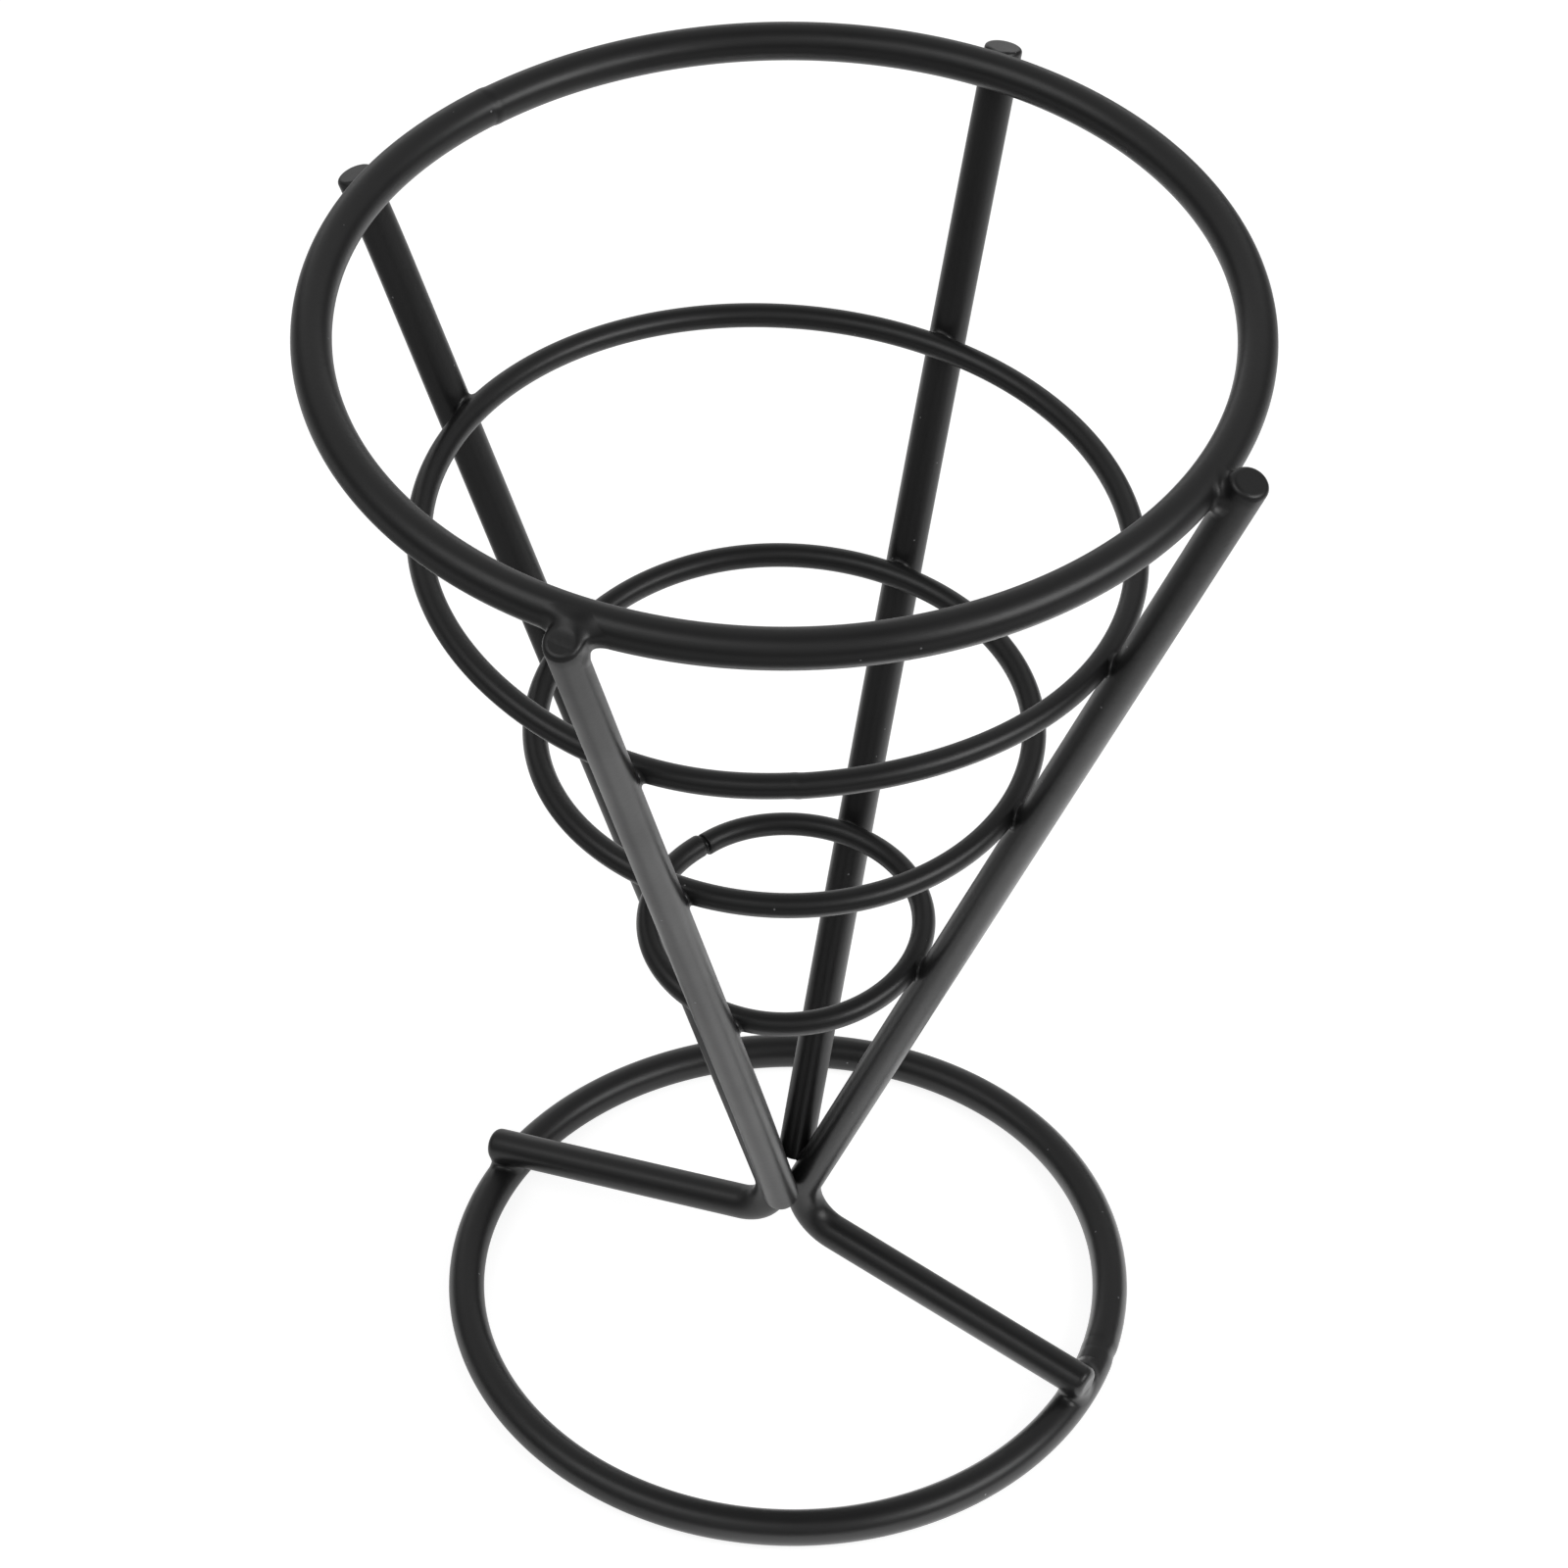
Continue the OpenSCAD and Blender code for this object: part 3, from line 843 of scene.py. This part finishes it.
def white_floor():
    """White to the camera, where it keeps the stand's shadow; a painted pool of light for reflections."""
    shader = Shader(bpy.data.materials.new("white_floor"))
    place = shader.node("ShaderNodeTexCoord")["Object"]
    at = shader.node("ShaderNodeSeparateXYZ", {}, {"Vector": place})
    behind = at["Y"] - POOL_BACK * MM
    from_middle = (at["X"] * at["X"] + behind * behind) ** 0.5
    near = 1 - shader.rise(from_middle, POOL_EDGE[0] * MM, POOL_EDGE[1] * MM)
    right = shader.rise(at["X"], 0, POOL_SIDE * MM)
    back = shader.rise(at["Y"], 0, POOL_SIDE * MM)
    far = shader.rise(from_middle, FAR_EDGE[0] * MM, FAR_EDGE[1] * MM)
    pool = near * (POOL_LIGHT + POOL_RIGHT_LIGHT * right)
    round_pool = (1 - near) * (1 - far) * (RIM_LIGHT + RIM_BACK_LIGHT * back)
    light = pool + round_pool + far * FAR_LIGHT
    # Painted pool of light, seen by every ray but the camera's: a glow, and a diffuse colour that lamps
    # light
    painted_pool_glow = shader.node("ShaderNodeEmission", {}, {
        "Color": shader.grey(light * STEADY_SHARE), "Strength": 1.0})
    painted_pool_colour = shader.node("ShaderNodeBsdfDiffuse", {}, {"Color": shader.grey(light * SHADED_SHARE)})
    reflected = shader.node("ShaderNodeAddShader", {}, {0: painted_pool_colour["BSDF"], 1: painted_pool_glow["Emission"]})
    paper = shader.node("ShaderNodeBsdfDiffuse", {}, {"Color": (PAPER, PAPER, PAPER, 1)})
    glow = shader.node("ShaderNodeEmission", {}, {"Strength": PAPER_GLOW})
    seen = shader.node("ShaderNodeAddShader", {}, {0: paper["BSDF"], 1: glow["Emission"]})
    ray = shader.node("ShaderNodeLightPath")
    mixed = shader.node("ShaderNodeMixShader", {}, {
        0: ray["Is Camera Ray"], 1: reflected["Shader"], 2: seen["Shader"]})
    return shader.finish(mixed["Shader"])


# Stage

def white_world():
    """White for the camera, and a grey dome, dark at its foot and overhead, for everything else."""
    world = bpy.data.worlds.new("white_world")
    bpy.context.scene.world = world
    shader = Shader(world, "ShaderNodeOutputWorld")
    way = shader.node("ShaderNodeTexCoord")["Generated"]
    height = shader.node("ShaderNodeSeparateXYZ", {}, {"Vector": way})["Z"]
    low, high = math.sin(math.radians(DOME_FROM)), math.sin(math.radians(DOME_TO))
    band = shader.rise(height, low - DOME_BLUR, low + DOME_BLUR)
    band = band - shader.rise(height, high - DOME_BLUR, high + DOME_BLUR)
    dome = shader.node("ShaderNodeBackground", {}, {
        "Color": shader.grey(DOME_DIM + (DOME_LIGHT - DOME_DIM) * band), "Strength": 1.0})
    white = shader.node("ShaderNodeBackground", {}, {"Color": (1, 1, 1, 1), "Strength": 1.0})
    ray = shader.node("ShaderNodeLightPath")
    mixed = shader.node("ShaderNodeMixShader", {}, {
        0: ray["Is Camera Ray"], 1: dome["Background"], 2: white["Background"]})
    shader.finish(mixed["Shader"])


def stage_floor():
    """The table top, which belongs to the stage and not to the stand."""
    half = FLOOR_HALF
    mesh = bpy.data.meshes.new("floor")
    corner_points = [(-half, -half, 0), (half, -half, 0), (half, half, 0), (-half, half, 0)]
    mesh.from_pydata(corner_points, [], [(0, 1, 2, 3)])
    mesh.materials.append(white_floor())
    floor = bpy.data.objects.new("floor", mesh)
    bpy.context.collection.objects.link(floor)


def direction(azimuth, elevation):
    """Way to a bearing, counted from the front towards the right, and a height, both in degrees."""
    turn, rise = math.radians(azimuth), math.radians(elevation)
    return Vector((math.sin(turn) * math.cos(rise), -math.cos(turn) * math.cos(rise), math.sin(rise)))


def lamp(name, azimuth, elevation, width, height, light):
    """A soft box that looks at the middle of the stand, with its brightness as seen from there."""
    data = bpy.data.lights.new(name, "AREA")
    data.shape = "RECTANGLE"
    data.size, data.size_y = width, height
    data.energy = LAMP_WATTS * width * height * light
    way = direction(azimuth, elevation)
    lamp_object = bpy.data.objects.new(name, data)
    lamp_object.location = Vector(CAMERA_TARGET) * MM + way * LAMP_DISTANCE
    lamp_object.rotation_euler = way.to_track_quat("Z", "Y").to_euler()
    bpy.context.collection.objects.link(lamp_object)


def photo_camera():
    """The camera that took the photograph, as it was fitted to the rings and rods."""
    back = direction(CAMERA_AZIMUTH, CAMERA_ELEVATION)
    turn, roll = math.radians(CAMERA_AZIMUTH), math.radians(CAMERA_ROLL)
    level = Vector((math.cos(turn), math.sin(turn), 0))
    steep = back.cross(level)
    right = math.cos(roll) * level + math.sin(roll) * steep
    up = back.cross(right)
    data = bpy.data.cameras.new("camera")
    data.sensor_width = SENSOR
    data.lens = CAMERA_FOCAL_PX / PHOTO_PX * SENSOR
    data.shift_x = (PHOTO_PX / 2 - CAMERA_CENTRE_PX[0]) / PHOTO_PX
    data.shift_y = (CAMERA_CENTRE_PX[1] - PHOTO_PX / 2) / PHOTO_PX
    camera = bpy.data.objects.new("camera", data)
    place = Vector(CAMERA_TARGET) * MM + back * CAMERA_DISTANCE * MM
    camera.matrix_world = Matrix.Translation(place) @ Matrix((right, up, back)).transposed().to_4x4()
    bpy.context.collection.objects.link(camera)
    bpy.context.scene.camera = camera


# The stand

SWEEP = sweep_tree()
WIRE_COAT = powder_coat("wire_powder_coat", WIRE_BUMPS)
WELD_COAT = powder_coat("weld_powder_coat", WELD_BUMPS)

rings = {node: Ring(node) for node in ("rim_ring", "upper_hoop", "middle_hoop", "lower_hoop", "base_ring")}
rods = {
    "left_bent_rod": bent_path("left_bent_rod", -1),
    "right_bent_rod": bent_path("right_bent_rod", 1),
    "back_rod": straight_path("back_rod", BACK_BOW),
    "front_rod": straight_path("front_rod"),
}


def dress(piece, node):
    """Puts a piece, which already has its coat, in the place of a solid, on the one body."""
    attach(piece, "root")
    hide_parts(node)


wires = {}
for node, ring in rings.items():
    roundings = OPEN_ENDS if node in OPEN_JOINT else None
    path, girth = ring.path()
    dress(swept_wire(node + "_wire", path, girth, ring.wire, roundings, WIRE_COAT), node)
    wires[node] = Wire(path, girth, ring.wire, roundings)
for node, path in rods.items():
    roundings = ROD_ROUNDS[node]
    girth = 1 + np.linspace(*ROD_GIRTHS[node], len(path))
    dress(swept_wire(node + "_wire", path, girth, ROD_WIRE, roundings, WIRE_COAT), node)
    wires[node] = Wire(path, girth, ROD_WIRE, roundings)


def crossing_fillet(ring, rod):
    """Fillet where a ring and a rod meet."""
    if ring == "rim_ring":
        return RIM_FILLETS[rod]
    return FOOT_FILLET if ring == "base_ring" else FILLET


def crossing_welds():
    """The welds between the rings and the rods that cross them."""
    random = np.random.default_rng(SEED)
    crossings = {
        "rim_welds": [("rim_ring", rod) for rod in rods],
        "upper_hoop_welds": [("upper_hoop", rod) for rod in rods],
        "middle_hoop_welds": [("middle_hoop", rod) for rod in rods],
        "lower_hoop_welds": [("lower_hoop", rod) for rod in rods],
        "foot_welds": [("base_ring", "left_bent_rod"), ("base_ring", "right_bent_rod")],
    }
    for node, pairs in crossings.items():
        skins = []
        for ring, rod in pairs:
            on_ring, on_rod = meeting(wires[ring], wires[rod])
            centre = (on_ring + on_rod) / 2
            lumps = []
            if (ring, rod) in BEADS:
                place, width = BEADS[ring, rod]
                lumps.append((np.array(place), width / 2))
            fillet = crossing_fillet(ring, rod)
            seed = int(random.integers(SEEDS))
            pair = [wires[ring], wires[rod]]
            skins.append(weld_skin(pair, centre, WELD_REACH + fillet, WELD_GRID, fillet, seed, lumps))
        at, faces = joined(skins)
        dress(mesh_piece(node + "_metal", at, faces, WELD_COAT), node)


def gather_weld():
    """The metal that holds the four rods together at the bottom of the cone."""
    gathered = [wires[rod] for rod in rods]
    left, right = rods["left_bent_rod"], rods["right_bent_rod"]
    low_left = left[np.abs(left[:, 2] - LEG_BEAD_H).argmin()]
    low_right = right[np.abs(right[:, 2] - LEG_BEAD_H).argmin()]
    bead = ((low_left + low_right) / 2, LEG_BEAD_D / 2)
    centre = np.array(GATHER_PLACE)
    at, faces = weld_skin(gathered, centre, GATHER_REACH, GATHER_GRID, GATHER_FILLET, SEED, [bead])
    dress(mesh_piece("gathered_rods_metal", at, faces, WELD_COAT), "apex_welds")


def flush_joint(node):
    """A thin skin of weld metal round a ring's joint, a hair proud in its middle."""
    ring, wire = rings[node], wires[node]
    joint = np.array([FLUSH_JOINTS[node][0]])
    centre = ring.points(joint)[0]
    along = np.cross(ring.normal, ring.out(joint)[0])
    ripple = uneven(SEED, PROUD_RIPPLE)
    reach = ring.wire / 2 + JOINT_REACH

    def field(at):
        past = (at - centre) @ along / (JOINT_LENGTH / 2)
        proud = JOINT_PROUD * (1 + PROUD_CHANGE * ripple(at)) * (1 - past ** 2)
        skin = wire.distance(at, centre, reach) - np.maximum(proud, -SUNK)
        return np.maximum(skin, np.linalg.norm(at - centre, axis=1) - reach)

    room = reach + JOINT_ROOM
    return surface(field, centre - room, centre + room, WELD_GRID)


def open_joint(node):
    """The weld between two ends that don't quite meet."""
    ring, wire = rings[node], wires[node]
    joint, space, step, _, sunk = OPEN_JOINT[node]
    turns = joint + np.degrees(np.linspace(-1, 1, CORE_POINTS) * (space / 2 + CORE_REACH) / ring.radius)
    core = ring.points(turns) + ring.out(turns) * step / 2
    middle = Wire(core, np.ones(len(core)), ring.wire - 2 * sunk, CORE_ENDS)
    return weld_skin([wire, middle], core[CORE_POINTS // 2], OPEN_REACH, OPEN_GRID, OPEN_FILLET, SEED)


def joint_welds():
    """The metal in each ring's own joint."""
    skins = [flush_joint(node) for node in FLUSH_JOINTS] + [open_joint(node) for node in OPEN_JOINT]
    at, faces = joined(skins)
    dress(mesh_piece("ring_joints_metal", at, faces, WELD_COAT), "ring_joints")


crossing_welds()
gather_weld()
joint_welds()

stage_floor()
white_world()
for lamp_name, soft_box in LAMPS.items():
    lamp(lamp_name, *soft_box)
photo_camera()
bpy.context.scene.view_settings.view_transform = "Standard"
